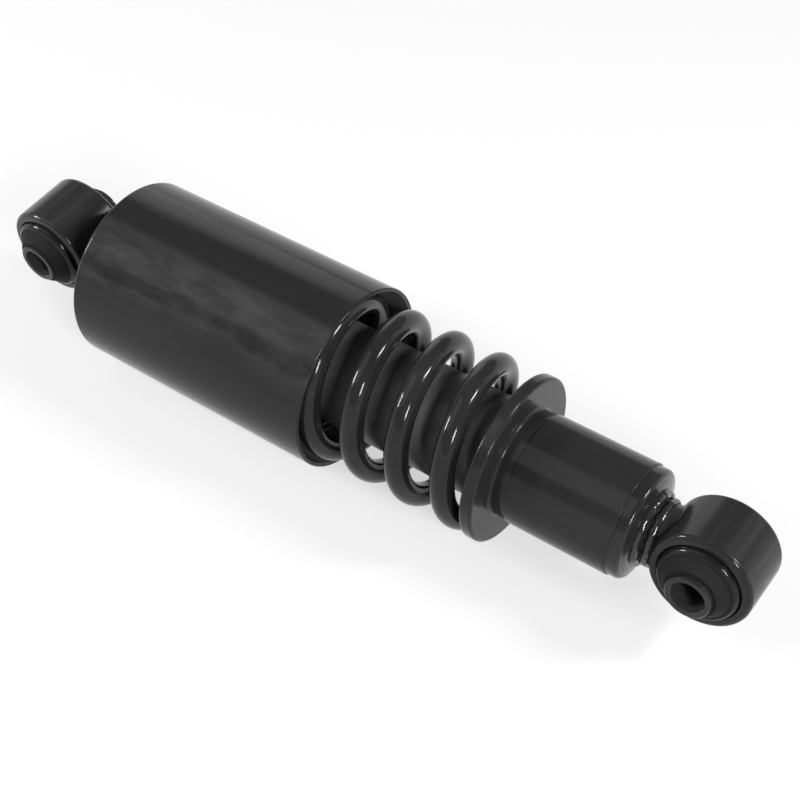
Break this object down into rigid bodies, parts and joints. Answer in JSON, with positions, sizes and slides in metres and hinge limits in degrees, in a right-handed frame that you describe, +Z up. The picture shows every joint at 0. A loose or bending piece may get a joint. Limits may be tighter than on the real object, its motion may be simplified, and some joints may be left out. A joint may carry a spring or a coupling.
{
  "type": "cab shock absorber",
  "caption": "Black coil-over cab damper: a tube inside a coil spring on a round seat, a cylindrical cover over the upper half and a rubber-bushed eye at each end.",
  "frame": {"origin": "centre of the lower eye's bolt bore", "axes": "+X along the damper from the lower eye to the upper eye, +Y along the lower eye's bolt bore, +Z up with the damper lying on its side"},
  "size_m": [0.4424, 0.0972, 0.0972],
  "materials": {
    "black_paint": "gloss",
    "spring_paint": "gloss",
    "sleeve_steel": "satin",
    "bush_rubber": "matte",
    "bump_foam": "matte",
    "seal_rubber": "satin",
    "chromed_rod": "polished",
    "drawn_steel": "satin",
    "spring_steel": "satin",
    "sintered_iron": "matte",
    "bearing_bronze": "satin",
    "band_plastic": "matte"
  },
  "bodies": {
    "damper_body": {"lower_eye": "black_paint", "lower_bush": "bush_rubber", "base_cap": "black_paint", "support_sleeve": "black_paint", "lower_spring_seat": "black_paint", "coil_spring": "spring_paint", "reservoir_tube": "black_paint", "pressure_tube": "drawn_steel", "base_valve_body": "sintered_iron", "base_valve_discs": "spring_steel", "base_valve_pin": "drawn_steel", "base_check_spring": "spring_steel", "rod_guide": "sintered_iron", "guide_bush": "bearing_bronze", "rod_seal": "seal_rubber", "seal_washer": "drawn_steel"},
    "rod_and_cover": {"piston_rod": "chromed_rod", "rebound_stop": "drawn_steel", "rebound_bumper": "seal_rubber", "piston_collar": "drawn_steel", "piston": "sintered_iron", "piston_band": "band_plastic", "piston_check_spring": "spring_steel", "piston_discs": "spring_steel", "piston_washer": "drawn_steel", "piston_nut": "drawn_steel", "bump_stop": "bump_foam", "cover_cap": "black_paint", "dust_cover": "black_paint", "upper_eye": "black_paint", "upper_bush": "bush_rubber"},
    "lower_bolt_sleeve": {"lower_sleeve": "sleeve_steel"},
    "upper_bolt_sleeve": {"upper_sleeve": "sleeve_steel"},
    "piston_check": {"piston_check_plate": "spring_steel"},
    "base_check": {"base_check_plate": "spring_steel"}
  },
  "joints": [
    {"name": "rod_slide", "type": "slide", "parent": "damper_body", "child": "rod_and_cover", "axis": [-1, 0, 0], "range_m": [0, 0.07], "stiffness_N_per_m": 58000, "springref_m": -0.02, "deforming": ["coil_spring"]},
    {"name": "lower_bush_twist", "type": "hinge", "parent": "damper_body", "child": "lower_bolt_sleeve", "pos_m": [0, 0, 0], "axis": [0, 1, 0], "range_deg": [-20, 20], "stiffness_Nm_per_rad": 60},
    {"name": "upper_bush_twist", "type": "hinge", "parent": "rod_and_cover", "child": "upper_bolt_sleeve", "pos_m": [0.392, 0, 0], "axis": [0, 0.9848, -0.1736], "range_deg": [-20, 20], "stiffness_Nm_per_rad": 60},
    {"name": "piston_check_lift", "type": "slide", "parent": "rod_and_cover", "child": "piston_check", "axis": [1, 0, 0], "range_m": [0, 0.0012], "stiffness_N_per_m": 300, "springref_m": -0.002, "deforming": ["piston_check_spring"]},
    {"name": "base_check_lift", "type": "slide", "parent": "damper_body", "child": "base_check", "axis": [1, 0, 0], "range_m": [0, 0.0012], "stiffness_N_per_m": 300, "springref_m": -0.002, "deforming": ["base_check_spring"]}
  ]
}
